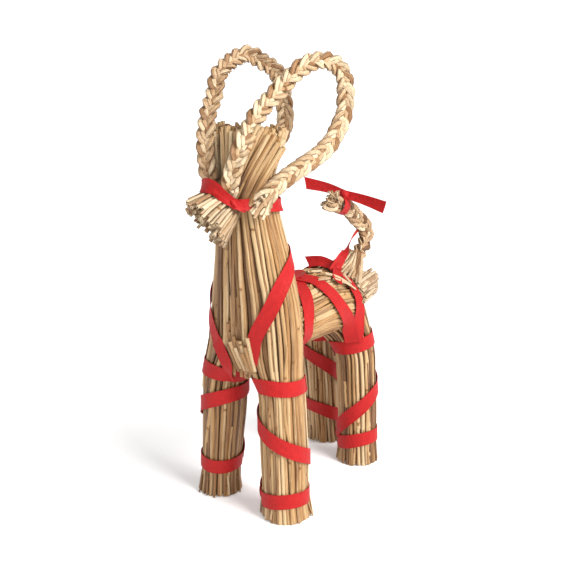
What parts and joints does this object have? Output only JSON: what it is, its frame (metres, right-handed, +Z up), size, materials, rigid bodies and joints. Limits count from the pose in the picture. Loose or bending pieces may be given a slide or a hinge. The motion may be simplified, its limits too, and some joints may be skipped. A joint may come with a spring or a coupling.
{
  "type": "straw ornament",
  "caption": "Standing goat of bundled straw with looped plaited horns and a plaited tail, bound with red ribbon tied in bows.",
  "frame": {"origin": "on the ground, under the centre of the bounding box", "axes": "+Z up, -Y the way the goat faces, +X to its left side"},
  "size_m": [0.1096, 0.2292, 0.3624],
  "materials": {
    "straw": "bundled natural straw, golden, slightly waxy",
    "plait": "plaited natural straw, pale",
    "ribbon": "red woven ribbon with a low sheen"
  },
  "bodies": {
    "root": {"neck_and_forelegs": "straw", "torso_and_hind_legs": "straw", "muzzle": "straw", "horn_left": "plait", "horn_right": "plait", "tail": "plait", "ribbon_foreleg_left": "ribbon", "ribbon_foreleg_right": "ribbon", "ribbon_hind_leg_left": "ribbon", "ribbon_hind_leg_right": "ribbon", "ribbon_chest": "ribbon", "ribbon_head": "ribbon", "ribbon_torso": "ribbon", "bow_tail": "ribbon"}
  },
  "joints": []
}
